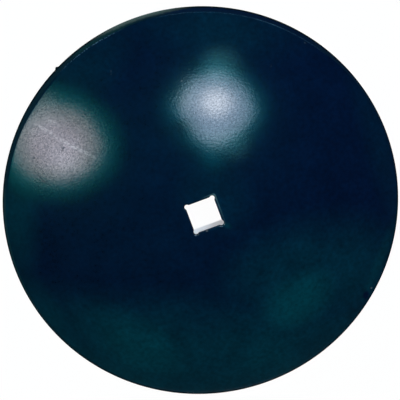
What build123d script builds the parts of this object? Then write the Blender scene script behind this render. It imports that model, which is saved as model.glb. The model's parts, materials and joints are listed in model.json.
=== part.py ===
from build123d import *
import math
import os

# Harrow disc blade, punched, bevelled and pressed from one steel plate.
# It lies hollow side down on its cutting edge. The origin is the centre of the circle that the edge stands on,
# +Z is the axis that the blade turns about, and the sides of the axle hole run along X and Y.
# Lengths are in millimetres.

# Plate and dish
disc_diameter = 560.0
plate_thickness = 6.0
concavity = 76.0  # depth of the hollow at its middle, from the plane of the cutting edge

# Cutting edge, bevelled on the outer face
bevel_run = 5.5  # how far the bevel reaches in from the rim, seen along the axis
edge_land = 1.0  # blunt strip left at the rim, which stands upright

# Axle hole, punched from the outer face
hole_side = 41.0
relief_radius = 3.5  # round relief in each corner, which keeps the plate from cracking there
relief_bulge = 1.5  # how far a relief reaches past the sides of the hole
relief_blend = 4.0  # rounding where a relief runs into a side
roll_over = 2.8  # edge that the punch draws down round the hole

# The two faces are parts of spheres about one centre, so the wall is even all over.
rim_radius = disc_diameter / 2
inner_radius = (rim_radius**2 + concavity**2) / (2 * concavity)
outer_radius = inner_radius + plate_thickness
dish_centre = concavity - inner_radius
blade_height = concavity + plate_thickness


def outer_height(radius):
    """Height of the outer face at a distance from the axis."""
    return dish_centre + math.sqrt(outer_radius**2 - radius**2)


# Dish: half of the section in the XZ plane, turned about the axis
ridge_at = rim_radius - bevel_run
with BuildPart() as disc_blade:
    with BuildSketch(Plane.XZ):
        with BuildLine():
            inner_face = RadiusArc((0, concavity), (rim_radius, 0), inner_radius)
            land = Line((rim_radius, 0), (rim_radius, edge_land))
            bevel = Line(land @ 1, (ridge_at, outer_height(ridge_at)))
            outer_face = RadiusArc(bevel @ 1, (0, blade_height), -outer_radius)
            Line(outer_face @ 1, inner_face @ 0)
        make_face()
    revolve(axis=Axis.Z)

    # Axle hole, with a round relief in each corner
    relief_spacing = hole_side + 2 * (relief_bulge - relief_radius)
    with BuildSketch(Plane.XY) as axle_hole:
        Rectangle(hole_side, hole_side)
        with GridLocations(relief_spacing, relief_spacing, 2, 2):
            Circle(relief_radius)
        fillet(axle_hole.vertices(), radius=relief_blend)
    extrude(amount=blade_height, mode=Mode.SUBTRACT)

    # Edge of the hole on the outer face
    outer_skin = disc_blade.faces().filter_by(GeomType.SPHERE).sort_by(Axis.Z)[-1]
    fillet(disc_blade.edges(Select.LAST) & outer_skin.edges(), radius=roll_over)

disc_blade.part.label = "disc_blade"

os.makedirs("parts", exist_ok=True)
export_step(disc_blade.part, "parts/disc_blade.step")
print("blade", disc_blade.part.bounding_box().size, "volume", round(disc_blade.part.volume))
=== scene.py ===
# %% [markdown]
# A blade for a disc harrow. It is one plate of hardened steel: punched with a square hole, bevelled round
# its edge, pressed hot into a shallow dish and dipped in glossy blue-black paint. It lies hollow side
# down, as on a workshop floor, and the camera looks down on the domed side.
#
# It gives the size and the place of everything here.

# %% Load the frame
import json
import math

import bmesh
import bpy
from mathutils import Matrix, Vector

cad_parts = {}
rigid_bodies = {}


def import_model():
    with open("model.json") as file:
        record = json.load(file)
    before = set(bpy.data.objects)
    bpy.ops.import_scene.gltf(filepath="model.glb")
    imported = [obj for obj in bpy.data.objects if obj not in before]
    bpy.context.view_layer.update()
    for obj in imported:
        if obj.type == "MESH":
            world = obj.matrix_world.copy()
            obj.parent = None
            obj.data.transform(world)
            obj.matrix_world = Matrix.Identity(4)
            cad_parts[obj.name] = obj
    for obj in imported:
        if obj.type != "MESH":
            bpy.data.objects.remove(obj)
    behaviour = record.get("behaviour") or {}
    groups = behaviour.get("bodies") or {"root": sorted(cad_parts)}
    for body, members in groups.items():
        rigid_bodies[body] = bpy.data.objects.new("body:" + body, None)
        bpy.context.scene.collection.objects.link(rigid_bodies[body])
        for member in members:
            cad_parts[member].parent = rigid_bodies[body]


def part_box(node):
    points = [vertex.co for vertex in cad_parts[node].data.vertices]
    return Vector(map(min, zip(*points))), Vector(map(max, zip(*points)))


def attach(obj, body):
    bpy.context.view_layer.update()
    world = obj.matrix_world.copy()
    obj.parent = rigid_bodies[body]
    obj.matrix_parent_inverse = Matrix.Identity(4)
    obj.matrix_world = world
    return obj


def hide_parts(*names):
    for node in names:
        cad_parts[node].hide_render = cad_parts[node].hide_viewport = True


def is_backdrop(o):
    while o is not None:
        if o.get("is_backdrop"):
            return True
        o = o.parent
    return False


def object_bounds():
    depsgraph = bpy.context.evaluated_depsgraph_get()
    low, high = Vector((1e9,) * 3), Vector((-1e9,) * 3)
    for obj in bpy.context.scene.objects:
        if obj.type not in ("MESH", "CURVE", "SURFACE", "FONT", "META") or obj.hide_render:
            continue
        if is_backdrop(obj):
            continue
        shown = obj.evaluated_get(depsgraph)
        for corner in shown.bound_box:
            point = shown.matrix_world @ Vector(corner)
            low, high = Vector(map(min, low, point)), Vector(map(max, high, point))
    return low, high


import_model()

solid_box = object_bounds()
NODE = "disc_blade"
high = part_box(NODE)[1]
RIM_RADIUS = high.x
print("solid: rim radius", round(RIM_RADIUS, 4), "height", round(high.z, 4))

# %% [markdown]
# The plate is one thickness all over, so its two faces are parts of two spheres about one centre. The box
# of the solid gives the rim. The depth of the hollow and the thickness of the plate give the rest.

# %% Work out the two spheres
PLATE = 0.006
HOLLOW_DEPTH = 0.076
inner_radius = (RIM_RADIUS**2 + HOLLOW_DEPTH**2) / (2 * HOLLOW_DEPTH)
outer_radius = inner_radius + PLATE
dish_centre = Vector((0, 0, HOLLOW_DEPTH - inner_radius))
print("spheres of", round(inner_radius, 4), "and", round(outer_radius, 4), "m")
print("centre of both at z", round(dish_centre.z, 4))

# %% [markdown]
# Edit mode acts on all that is selected, so selection is done in code. Two helpers do that: one makes an
# object the only selected one, and the other selects the vertices, edges or faces that a rule picks. The
# small ones after them measure where things are, and are used in the rules.

# %% Selection helpers
SAME_PLACE = 1e-5
NEARLY = 0.95


def only(piece):
    """Selects one object alone and makes it the active one."""
    for other in bpy.context.scene.objects:
        other.select_set(other == piece)
    bpy.context.view_layer.objects.active = piece


def pick(kind, rule):
    """In edit mode, selects only the elements of one kind (VERT, EDGE or FACE) for which the rule holds."""
    bpy.ops.mesh.select_mode(type=kind)
    shape = bmesh.from_edit_mesh(bpy.context.object.data)
    elements = {"VERT": shape.verts, "EDGE": shape.edges, "FACE": shape.faces}[kind]
    chosen = [element for element in elements if rule(element)]
    bpy.ops.mesh.select_all(action="DESELECT")
    for element in chosen:
        element.select = True
    shape.select_flush_mode()
    bmesh.update_edit_mesh(bpy.context.object.data)
    return len(chosen)


def middle(edge):
    """Middle point of an edge."""
    return (edge.verts[0].co + edge.verts[1].co) / 2


def reach(point):
    """Distance of a point from the axis of the blade."""
    return math.hypot(point.x, point.y)


def direction(point):
    """Direction of a point seen from the axis, in degrees from +X."""
    return math.degrees(math.atan2(point.y, point.x))


def open_edge(edge):
    """Whether fewer than two faces meet at an edge."""
    return len(edge.link_faces) < 2


def open_out_to(edge, radius):
    """Whether an edge is open and lies about as far out as a circle of this radius, or farther."""
    return open_edge(edge) and reach(middle(edge)) > NEARLY * radius


# %% [markdown]
# The axle hole comes first, because everything round it follows its outline: a square with a round relief
# in each corner, so that the plate doesn't crack there. A boolean cut through the finished dish would be
# quicker, but it leaves long thin faces that show in a glossy finish. Here the outline is drawn flat,
# with a plane whose corners are cut off and replaced by three spun arcs each: a blend, the relief itself,
# and a blend again.

# %% Outline of the axle hole
HOLE_SIDE = 0.041
RELIEF_RADIUS = 0.0035
RELIEF_BULGE = 0.0015
BLEND_RADIUS = 0.004
SIDE_PARTS, BLEND_PARTS, RELIEF_PARTS = 44, 10, 32
RING_PARTS = 4 * (SIDE_PARTS + 2 * BLEND_PARTS + RELIEF_PARTS)

half_side = HOLE_SIDE / 2
relief_at = half_side + RELIEF_BULGE - RELIEF_RADIUS
blend_at = half_side + BLEND_RADIUS
blend_drop = math.sqrt((RELIEF_RADIUS + BLEND_RADIUS)**2 - (blend_at - relief_at)**2)
side_end = relief_at - blend_drop
blend_turn = math.asin(blend_drop / (RELIEF_RADIUS + BLEND_RADIUS))
relief_turn = math.pi / 2 + 2 * blend_turn

for thing in bpy.context.scene.objects:
    thing.select_set(False)
bpy.ops.mesh.primitive_plane_add(size=HOLE_SIDE, location=(0, 0, 0))
outline = bpy.context.object
outline.name = "hole_outline"
only(outline)
bpy.ops.object.mode_set(mode="EDIT")
bpy.ops.mesh.delete(type="ONLY_FACE")
bpy.ops.mesh.select_all(action="SELECT")
bpy.ops.mesh.bevel(offset=half_side - side_end, segments=1, affect="VERTICES", clamp_overlap=False)
pick("EDGE", lambda e: abs(abs(middle(e).x) - abs(middle(e).y)) < SAME_PLACE)
bpy.ops.mesh.delete(type="EDGE")
for quarter in range(4):
    turned = Matrix.Rotation(quarter * math.pi / 2, 3, "Z")
    start = turned @ Vector((half_side, side_end, 0))
    pick("VERT", lambda v: (v.co - start).length < SAME_PLACE)
    arcs = ((BLEND_PARTS, blend_turn, (blend_at, side_end, 0)),
            (RELIEF_PARTS, -relief_turn, (relief_at, relief_at, 0)),
            (BLEND_PARTS, blend_turn, (side_end, blend_at, 0)))
    for parts, turn, centre in arcs:
        bpy.ops.mesh.spin(steps=parts, angle=turn, center=turned @ Vector(centre), axis=(0, 0, 1))
bpy.ops.mesh.select_all(action="SELECT")
bpy.ops.mesh.remove_doubles(threshold=SAME_PLACE)
pick("EDGE", lambda e: e.calc_length() > half_side)
bpy.ops.mesh.subdivide(number_cuts=SIDE_PARTS - 1)
bpy.ops.object.mode_set(mode="OBJECT")
print("hole outline:", len(outline.data.vertices), "points for a ring of", RING_PARTS)

# %% [markdown]
# The finishes are named now and their nodes are built further down, because a bevel can give its new faces
# a finish of their own. The blade has four: the paint on both faces, the paint on the ground bevel, the
# ridge between them, which carries a painted highlight, and the bare steel that the punch left in the axle
# hole.

# %% Name the finishes
PAINT, EDGE_PAINT, RIDGE, STEEL = range(4)
FINISHES = ("blue_black_paint", "cutting_edge_paint", "ridge_with_painted_highlight", "punched_steel")
for name in FINISHES:
    finish = bpy.data.materials.new(name)
    finish.use_nodes = True
    outline.data.materials.append(finish)
print("finishes:", ", ".join(FINISHES))

# %% [markdown]
# Each face of the plate starts as a flat sheet round the outline. A circle with as many points as the
# outline is added and bridged to it, and is then extruded and scaled outward, so that the sheet is made
# of even rings of four-sided faces. The Cast modifier throws the sheet onto its sphere. It moves each
# point along its line from the centre, so a circle that is to end up at some distance from the axis is
# drawn wider by the tangent of its angle.

# %% Dish a flat sheet onto a sphere
COLLAR_RADIUS = 0.056
COLLAR_RINGS, FACE_RINGS = 6, 50


def flat_radius(radius, sphere):
    """Radius in the flat sheet of a circle that the cast leaves at this distance from the axis."""
    return sphere * math.tan(math.asin(radius / sphere))


def cut_into_rings(rings):
    """Cuts the strip of faces that was made last into this many rings."""
    if rings > 1:
        pick("EDGE", lambda e: len(e.link_faces) == 2 and all(f.select for f in e.link_faces))
        bpy.ops.mesh.subdivide(number_cuts=rings - 1)
    bpy.ops.mesh.select_mode(type="FACE")


def bridge(rings):
    """Fills the space between the two selected loops with this many rings of faces."""
    bpy.ops.mesh.bridge_edge_loops()
    cut_into_rings(rings)


def grow(rule, factor, rings):
    """Extrudes the picked loop, scales it about the axis, and cuts the new strip into rings."""
    pick("EDGE", rule)
    bpy.ops.mesh.extrude_edges_move()
    bpy.ops.transform.resize(value=(factor, factor, 1), center_override=(0, 0, 0))
    bpy.ops.mesh.select_mode(type="EDGE")
    moved = {e.index for e in bmesh.from_edit_mesh(bpy.context.object.data).edges if e.select}
    pick("FACE", lambda f: any(e.index in moved for e in f.edges))
    cut_into_rings(rings)


def move_all(move):
    """Moves every point of the active object."""
    bpy.ops.object.mode_set(mode="EDIT")
    bpy.ops.mesh.select_all(action="SELECT")
    bpy.ops.transform.translate(value=move)
    bpy.ops.object.mode_set(mode="OBJECT")


def cast_onto(piece, sphere):
    """Throws every point onto a sphere about the origin."""
    cast = piece.modifiers.new("dish", "CAST")
    cast.cast_type = "SPHERE"
    cast.use_radius_as_size = False
    cast.size = sphere
    cast.radius = 0
    cast.factor = 1
    bpy.ops.object.modifier_apply(modifier=cast.name)


def dished_sheet(name, sphere, edge_radius):
    """A sheet from the outline of the hole out to a circle, on a sphere about the centre of the dish."""
    sheet = outline.copy()
    sheet.data = outline.data.copy()
    sheet.name = name
    bpy.context.scene.collection.objects.link(sheet)
    only(sheet)
    collar = flat_radius(COLLAR_RADIUS, sphere)
    edge = flat_radius(edge_radius, sphere)
    bpy.ops.object.mode_set(mode="EDIT")
    bpy.ops.mesh.primitive_circle_add(vertices=RING_PARTS, radius=collar, location=(0, 0, 0))
    bpy.ops.mesh.select_all(action="SELECT")
    bridge(COLLAR_RINGS)
    grow(lambda e: open_out_to(e, collar), edge / collar, FACE_RINGS)
    move_all((0, 0, sphere))
    cast_onto(sheet, sphere)
    move_all(dish_centre)
    return sheet


# %% [markdown]
# Both faces are made in the same way. The domed one ends where the bevel starts, and the hollow one goes
# out to the rim. Their rings have the same number of points, so that they can be bridged later.

# %% Make both faces of the plate
BEVEL_RUN = 0.0045
ridge_radius = RIM_RADIUS - BEVEL_RUN
blade = dished_sheet("pressed_blade", outer_radius, ridge_radius)
hollow_face = dished_sheet("hollow_face", inner_radius, RIM_RADIUS)
for face in (blade, hollow_face):
    reaches = [round(reach(v.co) * 1000, 1) for v in face.data.vertices]
    print(face.name, "faces", len(face.data.polygons), "reach in mm", min(reaches), "to", max(reaches),
          "top", round(max(v.co.z for v in face.data.vertices) * 1000, 2))

# %% [markdown]
# The bevel is ground by hand pressure on a turning blade, so it isn't equally wide all round. The outer
# loop of the domed sheet is moved a little to one side, pulled in at one place where the grinder stayed
# longer, and scaled towards the axis along a whole stretch. Proportional editing lets the rings behind it
# follow. The sheet is already dished, so a second Cast puts every point back on the sphere.

# %% Ground unevenly
RIDGE_SHIFT = 0.0013
SHIFT_WAY = math.radians(-41)
SHIFT_FOLLOW = 0.02
WIDE_PLACE = math.radians(124)
WIDE_GRIP = 0.004
WIDE_PULL = 0.0022
WIDE_FOLLOW = 0.07
LONG_FROM, LONG_TO = 38, 92
LONG_SCALE = 0.991
LONG_FOLLOW = 0.12


def on_ridge(vertex):
    """Whether a vertex lies on the outer loop of the domed sheet."""
    return vertex.is_boundary and reach(vertex.co) > COLLAR_RADIUS


def nudge(rule, move, follow):
    """Moves the picked points, and the points round them up to a distance less and less."""
    count = pick("VERT", rule)
    bpy.ops.transform.translate(value=move, use_proportional_edit=True, proportional_edit_falloff="SMOOTH",
                                proportional_size=follow)
    return count


only(blade)
bpy.ops.object.mode_set(mode="EDIT")
shift = (RIDGE_SHIFT * math.cos(SHIFT_WAY), RIDGE_SHIFT * math.sin(SHIFT_WAY), 0)
loop = nudge(on_ridge, shift, SHIFT_FOLLOW)
wide = Vector((ridge_radius * math.cos(WIDE_PLACE), ridge_radius * math.sin(WIDE_PLACE), 0))
gripped = nudge(lambda v: math.hypot(v.co.x - wide.x, v.co.y - wide.y) < WIDE_GRIP,
                -WIDE_PULL * wide.normalized(), WIDE_FOLLOW)
stretch = pick("VERT", lambda v: on_ridge(v) and LONG_FROM < direction(v.co) < LONG_TO)
bpy.ops.transform.resize(value=(LONG_SCALE, LONG_SCALE, 1), center_override=(0, 0, 0),
                         use_proportional_edit=True, proportional_edit_falloff="SMOOTH",
                         proportional_size=LONG_FOLLOW)
move_all(-dish_centre)
cast_onto(blade, outer_radius)
move_all(dish_centre)
print("ridge points moved:", loop, "pulled in:", gripped, "scaled:", stretch)

# %% [markdown]
# The two faces are joined into one closed plate. The bevel of the cutting edge is ground on the domed
# side only and stops short of the hollow side, which leaves a blunt strip, or land, at the rim. A ring of
# points goes where the bevel meets the land, and bridges fill the bevel, the land and the wall of the
# hole.

# %% Close the plate
LAND = 0.001
only(blade)
hollow_face.select_set(True)
bpy.ops.object.join()
bpy.ops.object.mode_set(mode="EDIT")
bpy.ops.mesh.select_all(action="DESELECT")
bpy.ops.mesh.primitive_circle_add(vertices=RING_PARTS, radius=RIM_RADIUS, location=(0, 0, LAND))
blade.active_material_index = EDGE_PAINT
pick("EDGE", lambda e: open_out_to(e, ridge_radius) and middle(e).z > LAND / 2)
bridge(2)
bpy.ops.object.material_slot_assign()
pick("EDGE", lambda e: open_out_to(e, RIM_RADIUS))
bridge(1)
bpy.ops.object.material_slot_assign()
pick("EDGE", lambda e: open_edge(e) and reach(middle(e)) < COLLAR_RADIUS)
bridge(2)
blade.active_material_index = STEEL
bpy.ops.object.material_slot_assign()
still_open = pick("EDGE", open_edge)
bpy.ops.mesh.select_all(action="SELECT")
bpy.ops.mesh.normals_make_consistent(inside=False)
bpy.ops.object.mode_set(mode="OBJECT")
points = [vertex.co for vertex in blade.data.vertices]
longest = max((points[a] - points[b]).length for a, b in blade.data.edge_keys)
print("open edges left:", still_open, "faces", len(blade.data.polygons), "longest edge", round(longest, 4))

# %% [markdown]
# Punching draws the edge of the hole down into a round shoulder on the side where the punch enters, and
# the paint covers it. Grinding leaves a soft ridge above the bevel. Both are made with the bevel
# operator, which can give its new faces a finish, and the sharp corners of the land and of the hollow
# side get a small one.

# %% Round the edges
ROLL_OVER = 0.0028
RIDGE_ROUNDING = 0.001
FINE_ROUNDING = 0.0002
MID_PLATE = HOLLOW_DEPTH + PLATE / 2


def round_edge(rule, width, parts, finish):
    """Bevels the picked edges, and gives the new faces one of the finishes."""
    count = pick("EDGE", rule)
    bpy.ops.mesh.bevel(offset=width, segments=parts, profile=0.5, affect="EDGES", clamp_overlap=False,
                       material=finish)
    return count


def between(edge, first, second):
    """Whether one finish meets another at an edge."""
    return {face.material_index for face in edge.link_faces} == {first, second}


def hole_top(edge):
    """Whether an edge runs round the hole on the domed side."""
    return between(edge, PAINT, STEEL) and middle(edge).z > MID_PLATE


def hole_foot(edge):
    """Whether an edge runs round the hole on the hollow side."""
    return between(edge, PAINT, STEEL) and middle(edge).z < HOLLOW_DEPTH


def bevel_top(edge):
    """Whether an edge runs along the top of the bevel."""
    return between(edge, PAINT, EDGE_PAINT) and middle(edge).z > 2 * LAND


def land_edge(edge):
    """Whether an edge runs round the blade at its rim, above or below the land."""
    rise = abs(edge.verts[0].co.z - edge.verts[1].co.z)
    return reach(middle(edge)) > RIM_RADIUS - FINE_ROUNDING and rise < FINE_ROUNDING


bpy.ops.object.mode_set(mode="EDIT")
rolled = round_edge(hole_top, ROLL_OVER, 6, PAINT)
burred = round_edge(hole_foot, FINE_ROUNDING, 2, STEEL)
softened = round_edge(bevel_top, RIDGE_ROUNDING, 3, RIDGE)
dulled = round_edge(land_edge, FINE_ROUNDING, 2, EDGE_PAINT)
bpy.ops.object.mode_set(mode="OBJECT")
print("edges rounded:", rolled, burred, softened, dulled, "faces", len(blade.data.polygons),
      "triangles", sum(len(face.vertices) - 2 for face in blade.data.polygons))
for slot, name in enumerate(FINISHES):
    print(name, sum(face.material_index == slot for face in blade.data.polygons), "faces")

# %% [markdown]
# A drop of paint has dried on the rim. The faces there are far too large for it, so they are subdivided
# first. Then the nearest points are pulled outward with proportional editing.

# %% Dried drop on the rim
DROP_WAY = math.radians(115.8)
DROP_LENGTH = 0.0064
DROP_TIP = 0.0007
DROP_PROUD = 0.0019
DROP_CUTS = 5
drop_at = Vector((RIM_RADIUS * math.cos(DROP_WAY), RIM_RADIUS * math.sin(DROP_WAY), LAND))
outward = Vector((drop_at.x, drop_at.y, 0)).normalized()


def near_the_drop(point, distance):
    """Whether a point lies within a distance of the drop."""
    return (point - drop_at).length < distance


def under_the_drop(face):
    """Whether a face lies on the bevel or the land, where the drop goes."""
    centre = face.calc_center_median()
    return reach(centre) > ridge_radius and near_the_drop(centre, DROP_LENGTH)


only(blade)
bpy.ops.object.mode_set(mode="EDIT")
cut = pick("FACE", under_the_drop)
bpy.ops.mesh.subdivide(number_cuts=DROP_CUTS, smoothness=0)
pulled = nudge(lambda v: near_the_drop(v.co, DROP_TIP), DROP_PROUD * outward, DROP_LENGTH / 2)
bpy.ops.object.mode_set(mode="OBJECT")
print("faces cut for the drop:", cut, "points pulled:", pulled)

# %% [markdown]
# Steel that is pressed hot never follows its die exactly. The faces of a real blade are off by a few
# tenths of a millimetre, which nobody sees until a lamp is mirrored in them: its outline then comes out a
# little crooked. A Displace modifier with a cloud texture does this. A vertex group fades it out at the
# hole and at the edge.

# %% Forming unevenness
UNEVENNESS = 0.0003
UNEVEN_SIZE = 0.07
FADE_WIDTH = 0.03
EVEN_TO = COLLAR_RADIUS
EVEN_FROM = ridge_radius - 0.008


def smooth_step(value):
    """Eases from 0 to 1."""
    value = min(1, max(0, value))
    return value * value * (3 - 2 * value)


uneven = blade.vertex_groups.new(name="uneven")
for vertex in blade.data.vertices:
    out = reach(vertex.co)
    weight = smooth_step((out - EVEN_TO) / FADE_WIDTH) * smooth_step((EVEN_FROM - out) / FADE_WIDTH)
    uneven.add([vertex.index], weight, "REPLACE")
clouds = bpy.data.textures.new("forming", "CLOUDS")
clouds.noise_scale = UNEVEN_SIZE
clouds.noise_depth = 1
waves = blade.modifiers.new("forming", "DISPLACE")
waves.texture = clouds
waves.texture_coords = "LOCAL"
waves.direction = "Z"
waves.strength = UNEVENNESS
waves.mid_level = 0.5
waves.vertex_group = uneven.name
only(blade)
bpy.ops.object.modifier_apply(modifier=waves.name)
blade.vertex_groups.clear()
print("forming waves up to", UNEVENNESS * 1000 / 2, "mm up and down")

# %% [markdown]
# Smooth shading is kept to the curved parts: edges sharper than the crease angle stay sharp. Weighted
# normals let the large faces decide how light falls on the small roundings beside them.
#
# The finished piece then takes the place of the plain solid.

# %% Smooth shading
CREASE = math.radians(30)
bpy.ops.object.shade_smooth_by_angle(angle=CREASE)
weighted = blade.modifiers.new("weighted", "WEIGHTED_NORMAL")
weighted.mode = "FACE_AREA"
weighted.keep_sharp = True
bpy.ops.object.modifier_apply(modifier=weighted.name)
bpy.data.objects.remove(outline)

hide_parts(NODE)
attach(blade, "root")
closed = bmesh.new()
closed.from_mesh(blade.data)
print("open edges:", sum(len(edge.link_faces) != 2 for edge in closed.edges),
      "volume", round(closed.calc_volume(signed=True) * 1e6), "cm3",
      "triangles", sum(len(face.verts) - 2 for face in closed.faces))
closed.free()

# %% [markdown]
# A finish is a tree of nodes. A few helpers keep the trees short: one adds a node and fills its inputs,
# and the others stand for the nodes that are used again and again.

# %% Node helpers
def add(tree, kind, inputs=None, **settings):
    """Adds a node, sets its options, and fills its inputs with numbers or with other nodes' outputs."""
    node = tree.nodes.new("ShaderNode" + kind)
    for name, value in settings.items():
        setattr(node, name, value)
    for name, value in (inputs or {}).items():
        if isinstance(value, bpy.types.NodeSocket):
            tree.links.new(value, node.inputs[name])
        else:
            node.inputs[name].default_value = value
    return node


def calculate(tree, operation, *values):
    """Output of a Math node."""
    return add(tree, "Math", dict(enumerate(values)), operation=operation).outputs[0]


def along(tree, place, way):
    """How far a place lies along a way."""
    return add(tree, "VectorMath", {0: place, 1: way}, operation="DOT_PRODUCT").outputs["Value"]


def length_of(tree, vector):
    """Length of a vector."""
    return add(tree, "VectorMath", {0: vector}, operation="LENGTH").outputs["Value"]


def stretched(tree, vector, factors):
    """A vector with each of its parts multiplied by a factor."""
    return add(tree, "VectorMath", {0: vector, 1: factors}, operation="MULTIPLY").outputs[0]


def noise(tree, vector, scale, detail=2.0, rough=0.5):
    """Output of a noise texture, about 0 to 1."""
    inputs = {"Vector": vector, "Scale": scale, "Detail": detail, "Roughness": rough}
    return add(tree, "TexNoise", inputs).outputs["Fac"]


def ease(tree, value, start, end):
    """Goes smoothly from 0 to 1 as the value goes from start to end."""
    inputs = {"Value": value, "From Min": start, "From Max": end}
    return add(tree, "MapRange", inputs, interpolation_type="SMOOTHSTEP").outputs[0]


def mix(tree, factor, first, second):
    """Colour between two colours. A Mix node for colours has its sockets at 0, 6 and 7."""
    return add(tree, "Mix", {0: factor, 6: first, 7: second}, data_type="RGBA").outputs[2]


def patch(tree, place, at, length, width, turn=0.0, soft=0.5, amount=1.0):
    """An amount inside an oval on the blade, and 0 outside it. Sizes are in mm, the turn is in degrees."""
    inputs = {"Vector": place, "Location": (at[0] / 1000, at[1] / 1000, 0),
              "Rotation": (0, 0, math.radians(turn)), "Scale": (length / 2000, width / 2000, 1)}
    inside = add(tree, "Mapping", inputs, vector_type="TEXTURE").outputs[0]
    distance = length_of(tree, stretched(tree, inside, (1, 1, 0)))
    return calculate(tree, "MULTIPLY", ease(tree, distance, 1.0 + soft / 2, 1.0 - soft / 2), amount)


def any_of(tree, masks):
    """The strongest of some masks."""
    strongest = masks[0]
    for mask in masks[1:]:
        strongest = calculate(tree, "MAXIMUM", strongest, mask)
    return strongest


def start_finish(name):
    """The tree of a finish, its shader, and the place on the blade in metres."""
    tree = bpy.data.materials[name].node_tree
    return tree, tree.nodes["Principled BSDF"], add(tree, "TexCoord").outputs["Object"]


# %% [markdown]
# The paint is what one sees of the whole blade. It is nearly black: navy in most places, with teal painted
# towards one side and in oval pools. That teal is a painted glow: it stands in for the sheen that the light
# gives the paint there, and for a small glint beside the hole. Another slow change, a painted light, makes
# it paler to one side, one spot stayed thin, and noise at three scales keeps it from being even. The ridge
# at the bevel has the same tone, so the tone is made by a function.
#
# Each pool is an oval: its place, length and width in millimetres, its turn in degrees, how soft its rim
# is, and how strong the painted teal is there.

# %% Tone of the paint
NAVY = (0.0004, 0.0042, 0.0156, 1)
GLOW_TEAL = (0.0004, 0.0275, 0.0355, 1)
GLOW_WAY = (-0.3424, -0.9169, 0)
SIDEWAYS = (0.9169, -0.3424, 0)
LOW_START, LOW_END, LOW_GLOW = 0.07, 0.21, 0.60
GLOW_POOLS = (
    ((115, -157), 250, 160, -20, 1.2, 0.42),
    ((84, -170), 120, 85, 20, 1.8, 0.95),
    ((24, -24), 16, 8, -45, 1.6, 0.5),
    ((-155, -155), 200, 90, -45, 1.6, 0.95),
    ((105, 238), 210, 80, -24, 1.7, 0.20),
    ((-75, 45), 330, 330, 0, 1.5, 0.07),
    ((20, 20), 90, 110, 20, 1.6, 0.20),
    ((-106, 232), 190, 70, 23, 1.8, 0.22),
    ((-250, 84), 170, 54, 71, 1.9, 0.50),
    ((-239, -107), 210, 50, -66, 1.8, 0.55),
    ((266, -20), 340, 38, 86, 1.8, 0.12),
    ((197, -178), 120, 22, 48, 1.7, 0.58),
)
THIN_SPOT = ((173.9, -206.4), 12, 9, -107, 0.8)
BREAKUP_SCALE, BREAKUP_SPREAD, BREAKUP_LEAST = 14.0, 0.9, 0.55
PAINTED_LIGHT_SIDEWAYS, PAINTED_LIGHT_MIDDLE = 1.3, 1.12
MOTTLES = ((30.0, 0.6), (165.0, 0.9))


def paint_tone(tree, place):
    """Colour of the paint at a place, with its painted teal glow and its painted light."""
    # Painted glow: teal painted towards one side and in the oval pools, for sheen and a glint.
    low = ease(tree, along(tree, place, GLOW_WAY), LOW_START, LOW_END)
    glows = [calculate(tree, "MULTIPLY", low, LOW_GLOW)]
    glows.extend(patch(tree, place, *pool) for pool in GLOW_POOLS)
    uneven = noise(tree, place, BREAKUP_SCALE, detail=3.0)
    glow_breakup = calculate(tree, "MULTIPLY_ADD", uneven, BREAKUP_SPREAD, BREAKUP_LEAST)
    covered = calculate(tree, "SUBTRACT", 1.0, patch(tree, place, *THIN_SPOT))
    glow_breakup = calculate(tree, "MULTIPLY", glow_breakup, covered)
    teal_share = calculate(tree, "MULTIPLY", any_of(tree, glows), glow_breakup)
    tone = mix(tree, teal_share, NAVY, GLOW_TEAL)
    # Painted light: the paint is made paler towards one side.
    painted_light_and_mottle = calculate(tree, "MULTIPLY_ADD", along(tree, place, SIDEWAYS), PAINTED_LIGHT_SIDEWAYS, PAINTED_LIGHT_MIDDLE)
    for scale, amount in MOTTLES:
        mottle = noise(tree, place, scale, detail=1.0)
        mottle = calculate(tree, "MULTIPLY_ADD", mottle, amount, 1 - amount / 2)
        painted_light_and_mottle = calculate(tree, "MULTIPLY", painted_light_and_mottle, mottle)
    return add(tree, "VectorMath", {0: tone, "Scale": painted_light_and_mottle}, operation="SCALE").outputs[0]


# %% [markdown]
# The paint is glossy in two ways. A thin clear skin mirrors the lamps white, and the coloured body under
# it spreads a wider glow with no red in it. The shader has a tinted, rougher gloss for the body and a
# coat for the skin.
#
# The skin isn't even. It is speckled with matt points, most of all in two places, it has a fine grain
# like orange peel, and the pressing has left faint rings about the axis. The speckle goes into the weight
# of the coat. The grain and the rings are a bump a few hundredths of a millimetre high.

# %% Gloss of the paint
TWO_GLOSSES = {"Roughness": 0.3, "Specular IOR Level": 0.02, "Specular Tint": (0.02, 1.0, 1.0, 1),
               "Coat IOR": 1.36, "Coat Roughness": 0.1}
SPECKLE_SIZE = 0.0022
SPECKLE = 1.0
SPECKLED_PLACES = (((-145, 150), 1.4), ((65, 121), 0.7))
SPECKLED_WIDTH, SPECKLED_SOFT = 210, 0.8
SKIN = 0.76
SCRATCH_DEPTH = 0.6
GRAIN_SIZE = 0.0030
RING_SIZE = 0.0022
RING_WAVER = 6.0
RING_SHARE = 0.32
PEEL_HEIGHT = 0.00006


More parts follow.
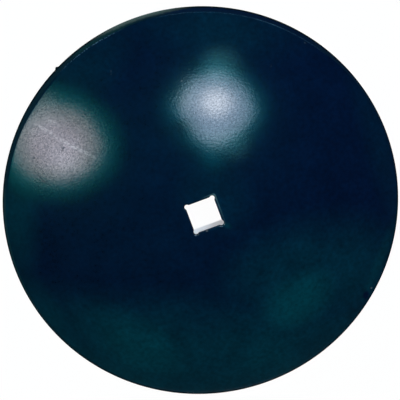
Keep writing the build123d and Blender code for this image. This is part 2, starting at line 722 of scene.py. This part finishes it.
def glossy_skin(tree, shader, place, marks):
    """Sets the two kinds of gloss. The marks are places where the skin is scratched off."""
    for name, value in TWO_GLOSSES.items():
        shader.inputs[name].default_value = value
    speckle = noise(tree, place, 1 / SPECKLE_SIZE, detail=2.0, rough=0.8)
    speckle = calculate(tree, "SUBTRACT", speckle, 0.5)
    more = any_of(tree, [patch(tree, place, at, SPECKLED_WIDTH, SPECKLED_WIDTH, soft=SPECKLED_SOFT,
                               amount=amount) for at, amount in SPECKLED_PLACES])
    skin = calculate(tree, "MULTIPLY_ADD", speckle, calculate(tree, "ADD", more, SPECKLE), SKIN)
    left = calculate(tree, "MULTIPLY_ADD", marks, -SCRATCH_DEPTH, 1.0)
    skin = add(tree, "Clamp", {"Value": calculate(tree, "MULTIPLY", skin, left)}).outputs[0]
    tree.links.new(skin, shader.inputs["Coat Weight"])
    grain = noise(tree, place, 1 / GRAIN_SIZE, detail=2.0, rough=0.6)
    from_axis = length_of(tree, stretched(tree, place, (1, 1, 0)))
    ring_place = add(tree, "CombineXYZ", {"X": calculate(tree, "DIVIDE", from_axis, RING_SIZE),
                                          "Y": noise(tree, place, RING_WAVER)}).outputs[0]
    height = calculate(tree, "MULTIPLY_ADD", noise(tree, ring_place, 1.0, detail=1.0), RING_SHARE, grain)
    peel = add(tree, "Bump", {"Strength": 1.0, "Distance": PEEL_HEIGHT, "Height": height})
    tree.links.new(peel.outputs[0], shader.inputs["Coat Normal"])


# %% [markdown]
# Handling has left marks of two kinds. Scratches and small spots have lost the clear skin, so they look
# dull where the rest mirrors a lamp. Elsewhere the paint is chipped pale in a few flecks. Pale is also
# painted as light: a painted highlight streak along one long line and a short one beside it, both in the
# brightest part, and a painted glint on the shoulder below the hole.
#
# Each mark is an oval: its place, length and width in millimetres, its turn in degrees, and its strength.

# %% Blue-black paint
SCRATCHES = (
    ((-155.1, 106.7), 18, 1.3, 37, 0.8),
    ((-195.8, 120.1), 24, 1.2, -63, 0.8),
    ((-190, 112), 14, 1.0, -55, 0.6),
    ((-152.0, 148.9), 7, 2.2, 43, 1.0),
    ((-195.3, 148.7), 2.8, 2.8, 0, 1.0),
    ((-167.8, 207.3), 2.6, 2.6, 0, 1.0),
    ((173.9, -206.4), 10, 7, -107, 1.0),
)
# The first three are painted highlight streaks and the last is a painted glint on the hole's shoulder; the
# rest are paint chips.
CHIPS_AND_HIGHLIGHTS = (
    ((-138, 149), 66, 5, -45, 0.15),
    ((-166, 180), 30, 4, -46, 0.15),
    ((-151.4, 185.6), 18, 4, -43, 0.10),
    ((-254.7, 108.3), 9, 2, -111, 0.50),
    ((-52.3, 224.6), 7, 1.6, -111, 0.03),
    ((35.8, 181.8), 2.5, 2.5, 0, 0.12),
    ((158.4, 155.6), 3, 1.6, -112, 0.04),
    ((184.4, -199.6), 3, 2.4, 0, 0.34),
    ((214.4, 165.3), 2.6, 1.8, -50, 0.12),
    ((-4.0, -22.2), 4, 1.8, -21, 0.12),
)
SCRATCH_SOFT, CHIP_AND_HIGHLIGHT_SOFT = 0.5, 1.2
CHIP_AND_HIGHLIGHT_GRAIN, CHIP_AND_HIGHLIGHT_START, CHIP_AND_HIGHLIGHT_FULL = 260.0, 0.30, 0.75
CHIP_AND_HIGHLIGHT_COLOUR = (0.95, 0.82, 0.80, 1)


def marks_of(tree, place, marks, soft):
    """The strongest of some marks at a place."""
    return any_of(tree, [patch(tree, place, *oval, soft=soft, amount=amount) for *oval, amount in marks])


tree, paint, place = start_finish("blue_black_paint")
glossy_skin(tree, paint, place, marks_of(tree, place, SCRATCHES, SCRATCH_SOFT))
# Pale chips, with the painted highlight streaks and the painted glint among them.
broken = ease(tree, noise(tree, place, CHIP_AND_HIGHLIGHT_GRAIN), CHIP_AND_HIGHLIGHT_START, CHIP_AND_HIGHLIGHT_FULL)
chips_and_highlights = calculate(tree, "MULTIPLY", marks_of(tree, place, CHIPS_AND_HIGHLIGHTS, CHIP_AND_HIGHLIGHT_SOFT), broken)
print("scratches:", len(SCRATCHES), "chips_and_painted_highlights:", len(CHIPS_AND_HIGHLIGHTS))

# %% [markdown]
# Just outside the shoulder of the hole a fine pale line is painted on two sides: a painted highlight, where
# the shoulder mirrors a lamp. It lies at one distance from the square, measured the same way in x and in y.

# %% Line round the hole
LINE_AT = HOLE_SIDE / 2 + 1.4 * ROLL_OVER
LINE_WIDTH = 0.0014
LINE_CORNER = 0.006
GLINT_SIDE = (1.0, 0.4, 0)
LINE_START, LINE_FULL = 0.012, 0.030
LINE_GRAIN, LINE_STRENGTH = 160.0, 0.14
HOLE_GLINT_COLOUR = (0.55, 0.95, 0.90, 1)
sides = add(tree, "SeparateXYZ", {0: place}).outputs
line_from = LINE_AT - LINE_WIDTH / 2
off_x = calculate(tree, "SUBTRACT", calculate(tree, "ABSOLUTE", sides[0]), line_from)
off_y = calculate(tree, "SUBTRACT", calculate(tree, "ABSOLUTE", sides[1]), line_from)
off = calculate(tree, "ABSOLUTE", calculate(tree, "SMOOTH_MAX", off_x, off_y, LINE_CORNER))
glint_line = calculate(tree, "SUBTRACT", 1.0, ease(tree, off, 0.0, LINE_WIDTH))
glint_line = calculate(tree, "MULTIPLY", glint_line, ease(tree, along(tree, place, GLINT_SIDE), LINE_START, LINE_FULL))
faint = calculate(tree, "MULTIPLY", noise(tree, place, LINE_GRAIN), LINE_STRENGTH)
# Painted highlight: the pale line where the shoulder of the hole mirrors a lamp.
tone = mix(tree, calculate(tree, "MULTIPLY", glint_line, faint), paint_tone(tree, place), HOLE_GLINT_COLOUR)
tree.links.new(mix(tree, chips_and_highlights, tone, CHIP_AND_HIGHLIGHT_COLOUR), paint.inputs["Base Color"])
print("glint_line", round(LINE_AT * 1000, 2), "mm from the axis, nodes in the paint:", len(tree.nodes))

# %% [markdown]
# The bevel is ground rough and painted thinly, so it is dull. The tone of the paint changes round the
# blade, from navy to a greenish black, and each tone lies within a range of angles about the axis. The
# outermost strip is nearly black, lighter over one stretch. Over another range of angles it carries a
# painted reflection: it is pale, reaches higher up the bevel, and fades inward.

# %% Paint on the bevel
BAND = (0.0027, 0.0105, 0.0155, 1)
LIGHTER_BAND = (0.0040, 0.0170, 0.0220, 1)
LIGHT_STRIP = (-62, -20)
OTHER_BANDS = (
    ((92, 109), (0.0034, 0.0165, 0.0190, 1)),
    ((30, 80), (0.0022, 0.0085, 0.0225, 1)),
    ((-18, 35), (0.0045, 0.0130, 0.0260, 1)),
    (LIGHT_STRIP, LIGHTER_BAND),
    ((155, 190), LIGHTER_BAND),
    ((-190, -130), LIGHTER_BAND),
)
BLACK = (0.0016, 0.0045, 0.0055, 1)
# Colour of the painted reflection on the bevel.
PAINTED_REFLECTION = (0.0550, 0.0690, 0.0610, 1)
REFLECTION_FROM, REFLECTION_TO, REFLECTION_FADE = 77, 100, 6.0
STRIP_HEIGHT, STRIP_SOFT = 0.0036, 0.0008
REFLECTION_HEIGHT, REFLECTION_SOFT = 0.0058, 0.0028
RAGGED_SCALE, RAGGED_HEIGHT = 220.0, 0.004


def within(tree, angle, start, end, fade=4.0):
    """1 between two angles in degrees and 0 outside them."""
    rise = ease(tree, angle, math.radians(start - fade), math.radians(start + fade))
    fall = ease(tree, angle, math.radians(end + fade), math.radians(end - fade))
    return calculate(tree, "MULTIPLY", rise, fall)


def angle_and_height(tree, place):
    """Angle of a place about the axis, in radians, and its height."""
    sides = add(tree, "SeparateXYZ", {0: place}).outputs
    return calculate(tree, "ARCTAN2", sides[1], sides[0]), sides[2]


def make_dull(shader):
    """Sets a rough finish that mirrors nothing."""
    shader.inputs["Roughness"].default_value = 0.6
    shader.inputs["Specular IOR Level"].default_value = 0.0


tree, bevel, place = start_finish("cutting_edge_paint")
angle, height = angle_and_height(tree, place)
band = BAND
for (start, end), colour in OTHER_BANDS:
    band = mix(tree, within(tree, angle, start, end), band, colour)
# Painted reflection: over these angles the bevel is pale from the rim up, and fades inward.
reflecting = within(tree, angle, REFLECTION_FROM, REFLECTION_TO, REFLECTION_FADE)
strip = mix(tree, within(tree, angle, *LIGHT_STRIP), BLACK, LIGHTER_BAND)
strip = mix(tree, reflecting, strip, PAINTED_REFLECTION)
top = calculate(tree, "MULTIPLY_ADD", reflecting, REFLECTION_HEIGHT - STRIP_HEIGHT, STRIP_HEIGHT)
ragged = calculate(tree, "SUBTRACT", noise(tree, place, RAGGED_SCALE), 0.5)
top = calculate(tree, "MULTIPLY_ADD", ragged, RAGGED_HEIGHT, top)
soft = calculate(tree, "MULTIPLY_ADD", reflecting, REFLECTION_SOFT - STRIP_SOFT, STRIP_SOFT)
above = calculate(tree, "SUBTRACT", height, top)
in_strip = ease(tree, above, soft, calculate(tree, "MULTIPLY", soft, -1.0))
tree.links.new(mix(tree, in_strip, band, strip), bevel.inputs["Base Color"])
make_dull(bevel)
print("tones round the bevel:", 1 + len(OTHER_BANDS))

# %% [markdown]
# The ridge between the bevel and the face catches every knock. It has the tone of the face but is dull, and
# it carries a painted highlight: a pale line where the rounded ridge catches the light, broken into dashes
# by noise on one stretch, faint but steady on the next, and brighter at one place. Each stretch has its
# angles, the strength of its dashes and what shows between them.

# %% Ridge
RIDGE_HIGHLIGHT = (0.0360, 0.0700, 0.1000, 1)
HIGHLIGHT_STRETCHES = (((96, 114), 1.0, 0.0), ((32, 82), 0.26, 0.05), ((45, 54), 0.45, 0.28))
DASH_SCALE, DASH_START, DASH_FULL = 380.0, 0.48, 0.58
tree, ridge, place = start_finish("ridge_with_painted_highlight")
angle = angle_and_height(tree, place)[0]
dashes = ease(tree, noise(tree, place, DASH_SCALE, detail=1.0), DASH_START, DASH_FULL)
# Painted highlight: a pale line along the ridge where it catches the light.
highlighted = []
for (start, end), amount, least in HIGHLIGHT_STRETCHES:
    shine = calculate(tree, "MULTIPLY_ADD", dashes, amount, least)
    highlighted.append(calculate(tree, "MULTIPLY", within(tree, angle, start, end), shine))
tone = mix(tree, any_of(tree, highlighted), paint_tone(tree, place), RIDGE_HIGHLIGHT)
tree.links.new(tone, ridge.inputs["Base Color"])
make_dull(ridge)
print("worn stretches on the ridge:", len(HIGHLIGHT_STRETCHES))

# %% [markdown]
# Only the wall of the hole is bare: clean cut steel, bluish and a little dull from the punch. Noise that
# is stretched along the stroke of the punch gives it grooves.

# %% Punched steel
GROOVES = (900.0, 900.0, 60.0)
DARK_STEEL = (0.26, 0.29, 0.33, 1)
BRIGHT_STEEL = (0.42, 0.46, 0.52, 1)
tree, steel, place = start_finish("punched_steel")
grooves = noise(tree, stretched(tree, place, GROOVES), 1.0)
tree.links.new(mix(tree, grooves, DARK_STEEL, BRIGHT_STEEL), steel.inputs["Base Color"])
steel.inputs["Metallic"].default_value = 1.0
steel.inputs["Roughness"].default_value = 0.35
print("grooves about", round(1000 / GROOVES[0], 1), "mm wide")

# %% [markdown]
# The camera looks as the picture was taken: from nearly over the blade, 12 degrees off its axis, with a
# long lens. Its place is worked out from the outline of the rim and the sides of the hole in the picture.

# %% Camera
CAMERA_DISTANCE = 3.36
CAMERA_TILT = math.radians(12.17)
CAMERA_SIDE = math.radians(83.67)
CAMERA_AIM = Vector((0.00003, 0.00498, 0))
CAMERA_ROLL = math.radians(165.88)
IMAGE_SIZE = 400
FOCAL_PIXELS = 2376.0
SENSOR_WIDTH = 36

eye = CAMERA_DISTANCE * Vector((math.sin(CAMERA_TILT) * math.cos(CAMERA_SIDE),
                                math.sin(CAMERA_TILT) * math.sin(CAMERA_SIDE), math.cos(CAMERA_TILT)))
back = (eye - CAMERA_AIM).normalized()
across = Vector((0, 0, 1)).cross(back).normalized()
level = back.cross(across)
right = math.cos(CAMERA_ROLL) * across + math.sin(CAMERA_ROLL) * level
up = back.cross(right)
lens = bpy.data.cameras.new("camera")
lens.sensor_width = SENSOR_WIDTH
lens.lens = FOCAL_PIXELS * SENSOR_WIDTH / IMAGE_SIZE
camera = bpy.data.objects.new("camera", lens)
bpy.context.scene.collection.objects.link(camera)
camera.matrix_world = Matrix((right, up, back)).transposed().to_4x4()
camera.location = eye
bpy.context.scene.camera = camera
print("lens", round(lens.lens, 1), "mm, camera at", [round(c, 3) for c in eye])

# %% [markdown]
# Two large softboxes stand where the dome mirrors them to the camera: a ray is sent from the camera
# through the middle of each bright spot and reflected by the outer sphere. A real softbox is brightest
# where its lamp sits and fades towards its rim. Here a colour ramp over the face of the lamp does that,
# and its last, dim part is teal. The steel isn't quite round and the lamps aren't quite even, so a few
# spots on each face add light or take some away.

# %% Softboxes
LAMP_DISTANCE = 2.5
LAMP_RADIANCE = 59.0


def mirror_ray(pixel):
    """Where the camera's ray through a pixel meets the domed face, and which way it goes from there."""
    x = (pixel[0] - IMAGE_SIZE / 2) / FOCAL_PIXELS
    y = (IMAGE_SIZE / 2 - pixel[1]) / FOCAL_PIXELS
    ray = (right * x + up * y - back).normalized()
    offset = eye - dish_centre
    nearest = offset.dot(ray)
    distance = -nearest - math.sqrt(nearest**2 - offset.length_squared + outer_radius**2)
    point = eye + distance * ray
    return point, ray.reflect((point - dish_centre).normalized())


def lamp_colour(tree, power, falloff, spots):
    """Colour over the face of a lamp, whose places go from -1 to 1. The falloff gives it from the middle to
    the rim, along ovals if the power is 2 and nearer to a square on its corner if it is lower. Each spot
    adds its own colour, or takes some away."""
    face = add(tree, "NewGeometry").outputs["Parametric"]
    inputs = {0: face, 1: (2, 2, 0), 2: (-1, -1, 0)}
    centred = add(tree, "VectorMath", inputs, operation="MULTIPLY_ADD").outputs[0]
    sides = add(tree, "SeparateXYZ", {0: centred}).outputs
    parts = [calculate(tree, "POWER", calculate(tree, "ABSOLUTE", sides[axis]), power) for axis in (0, 1)]
    out = calculate(tree, "POWER", calculate(tree, "ADD", *parts), 1 / power)
    ramp = add(tree, "ValToRGB", {0: out})
    stops = ramp.color_ramp.elements
    for number, (share, colour) in enumerate(falloff):
        stop = stops[number] if number < 2 else stops.new(share)
        stop.position = share
        stop.color = (*colour, 1)
    lit = ramp.outputs[0]
    for at, size, colour in spots:
        inputs = {"Vector": centred, "Location": (*at, 0), "Scale": (*size, 1)}
        off = length_of(tree, add(tree, "Mapping", inputs, vector_type="TEXTURE").outputs[0])
        strength = ease(tree, off, 1.0, 0.1)
        heat = add(tree, "VectorMath", {0: colour, "Scale": strength}, operation="SCALE").outputs[0]
        lit = add(tree, "VectorMath", {0: lit, 1: heat}, operation="ADD").outputs[0]
    return add(tree, "VectorMath", {0: lit, 1: (0, 0, 0)}, operation="MAXIMUM").outputs[0]


def softbox(name, pixel, size, power, falloff, spots):
    """A lamp facing the place on the blade that mirrors it at a pixel."""
    point, way = mirror_ray(pixel)
    light = bpy.data.lights.new(name, "AREA")
    light.shape = "RECTANGLE"
    light.size, light.size_y = size
    light.energy = LAMP_RADIANCE * math.pi * size[0] * size[1]
    light.use_nodes = True
    tree = light.node_tree
    tree.links.new(lamp_colour(tree, power, falloff, spots), tree.nodes["Emission"].inputs["Color"])
    lamp = bpy.data.objects.new(name, light)
    bpy.context.scene.collection.objects.link(lamp)
    sideways = (right - right.dot(way) * way).normalized()
    lamp.matrix_world = Matrix((sideways, way.cross(sideways), way)).transposed().to_4x4()
    lamp.location = point + LAMP_DISTANCE * way
    print(name, "at", [round(c, 2) for c in lamp.location])


# %% [markdown]
# The left lamp is wide and is mirrored towards the edge of the blade. It is nearly grey in its middle and
# teal at its rim. The falloff gives shares of the way from the middle to the rim, each with its colour. A
# spot has a place, a size and a colour.

# %% Left softbox
LEFT_MIRRORED_AT = (55, 144)
LEFT_SIZE, LEFT_POWER = (2.40, 1.80), 2.0
LEFT_FALLOFF = (
    (0.00, (0.220, 0.200, 0.222)),
    (0.24, (0.215, 0.195, 0.218)),
    (0.36, (0.182, 0.177, 0.187)),
    (0.47, (0.130, 0.143, 0.143)),
    (0.56, (0.085, 0.110, 0.110)),
    (0.64, (0.012, 0.062, 0.060)),
    (0.72, (0.00, 0.034, 0.031)),
    (0.83, (0.00, 0.015, 0.011)),
    (1.00, (0.00, 0.00, 0.00)),
)
LEFT_SPOTS = (
    ((0.13, -0.21), (0.38, 0.44), (0.12, 0.12, 0.14)),
    ((-0.20, 0.22), (0.38, 0.40), (0.055, 0.055, 0.062)),
    ((-0.19, 0.60), (0.27, 0.28), (0.058, 0.050, 0.050)),
    ((-0.10, 0.84), (0.30, 0.30), (0.00, 0.011, 0.010)),
)
softbox("left_softbox", LEFT_MIRRORED_AT, LEFT_SIZE, LEFT_POWER, LEFT_FALLOFF, LEFT_SPOTS)

# %% [markdown]
# The top lamp is bluer and has a small hot middle. Its outline is nearer to a square set on its corner,
# so its power is lower, and one spot takes light away for a notch at its lower left.

# %% Top softbox
TOP_MIRRORED_AT = (215.5, 108)
TOP_SIZE, TOP_POWER = (1.92, 1.90), 1.6
TOP_FALLOFF = (
    (0.00, (0.190, 0.250, 0.330)),
    (0.26, (0.170, 0.230, 0.310)),
    (0.40, (0.138, 0.205, 0.270)),
    (0.53, (0.100, 0.170, 0.215)),
    (0.61, (0.010, 0.070, 0.085)),
    (0.70, (0.00, 0.026, 0.029)),
    (0.82, (0.00, 0.007, 0.008)),
    (1.00, (0.00, 0.00, 0.00)),
)
TOP_SPOTS = (
    ((0.01, 0.09), (0.36, 0.31), (0.37, 0.36, 0.37)),
    ((0.07, 0.68), (0.42, 0.48), (0.012, 0.050, 0.055)),
    ((-0.42, 0.12), (0.26, 0.28), (0.055, 0.055, 0.055)),
    ((0.34, -0.56), (0.30, 0.35), (0.008, 0.030, 0.032)),
    ((-0.02, -0.80), (0.30, 0.40), (0.00, 0.012, 0.014)),
    ((-0.35, 0.37), (0.24, 0.24), (0.040, 0.048, 0.062)),
    ((0.06, -0.48), (0.28, 0.24), (0.034, 0.048, 0.050)),
    ((-0.43, -0.25), (0.29, 0.26), (-0.045, -0.057, -0.080)),
)
softbox("top_softbox", TOP_MIRRORED_AT, TOP_SIZE, TOP_POWER, TOP_FALLOFF, TOP_SPOTS)

# %% [markdown]
# The floor and the low wall round it are white paper. The light on them would leave them pale grey, so the
# camera, and what is glossy, sees them mostly as plain white. What is left of the paper keeps a light
# shadow. Under the blade the floor carries a painted shade, less white and tinted, and a painted light
# patch of plain white, standing for the light that falls through the hole, which ends short of one side.

# %% Floor and backdrop
FLOOR_RADIUS = 7.0
FLOOR_PARTS = 128
WALL_HEIGHT = 1.5
PAPER = (0.85, 0.85, 0.85, 1)
WHITE = (1, 1, 1, 1)
SHADE = (0.93, 0.91, 0.94, 1)
SHADE_END, WHITE_START = 0.20, 0.26
PATCH_END, PATCH_START = -0.0335, -0.0315
PLAIN_WHITE_UNDER, PLAIN_WHITE_MORE = 0.44, 0.54
only(blade)
bpy.ops.mesh.primitive_circle_add(vertices=FLOOR_PARTS, radius=FLOOR_RADIUS, fill_type="NGON",
                                  location=(0, 0, 0))
floor = bpy.context.object
floor.name = "studio_floor"
bpy.ops.object.mode_set(mode="EDIT")
pick("EDGE", lambda e: True)
bpy.ops.mesh.extrude_edges_move(TRANSFORM_OT_translate={"value": (0, 0, WALL_HEIGHT)})
bpy.ops.object.mode_set(mode="OBJECT")
floor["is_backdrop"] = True
floor.data.materials.append(bpy.data.materials.new("white_paper"))
floor.active_material.use_nodes = True
tree, paper, place = start_finish("white_paper")
paper.inputs["Base Color"].default_value = PAPER
paper.inputs["Roughness"].default_value = 0.9
paper.inputs["Specular IOR Level"].default_value = 0.0
rays = add(tree, "LightPath").outputs
seen = any_of(tree, [rays["Is Camera Ray"], rays["Is Glossy Ray"], rays["Is Transmission Ray"]])
# Painted shade under the blade, and a painted light patch where light would fall through the hole.
outside = ease(tree, length_of(tree, place), SHADE_END, WHITE_START)
lit_patch = ease(tree, add(tree, "SeparateXYZ", {0: place}).outputs[1], PATCH_END, PATCH_START)
lit = calculate(tree, "MAXIMUM", outside, lit_patch)
plain = calculate(tree, "MULTIPLY_ADD", lit, PLAIN_WHITE_MORE, PLAIN_WHITE_UNDER)
white = add(tree, "Emission", {"Color": mix(tree, lit, SHADE, WHITE), "Strength": 1.0})
inputs = {0: calculate(tree, "MULTIPLY", seen, plain), 1: paper.outputs[0], 2: white.outputs[0]}
both = add(tree, "MixShader", inputs)
tree.links.new(both.outputs[0], tree.nodes["Material Output"].inputs["Surface"])
print("floor", 2 * FLOOR_RADIUS, "m across, wall", WALL_HEIGHT, "m high")

# %% [markdown]
# Beyond the paper there is only a weak white world, which lifts the darkest shadows a little. The colours
# are shown as they are, without the soft curve that Blender starts with.

# %% World and colours
WORLD_STRENGTH = 0.02
world = bpy.data.worlds.new("studio")
world.use_nodes = True
world.node_tree.nodes["Background"].inputs["Color"].default_value = WHITE
world.node_tree.nodes["Background"].inputs["Strength"].default_value = WORLD_STRENGTH
bpy.context.scene.world = world
bpy.context.scene.view_settings.view_transform = "Standard"
print("world strength", WORLD_STRENGTH, "view", bpy.context.scene.view_settings.view_transform)

# %% [markdown]
# Last, the box of what shows is printed beside the box of the solid, so that the two can be compared. The
# piece has to stay inside the solid's box.

# %% Compare the sizes
shown_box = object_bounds()
for name, box in (("solid box", solid_box), ("visual box", shown_box)):
    print(name, [[round(x, 4) for x in corner] for corner in box])
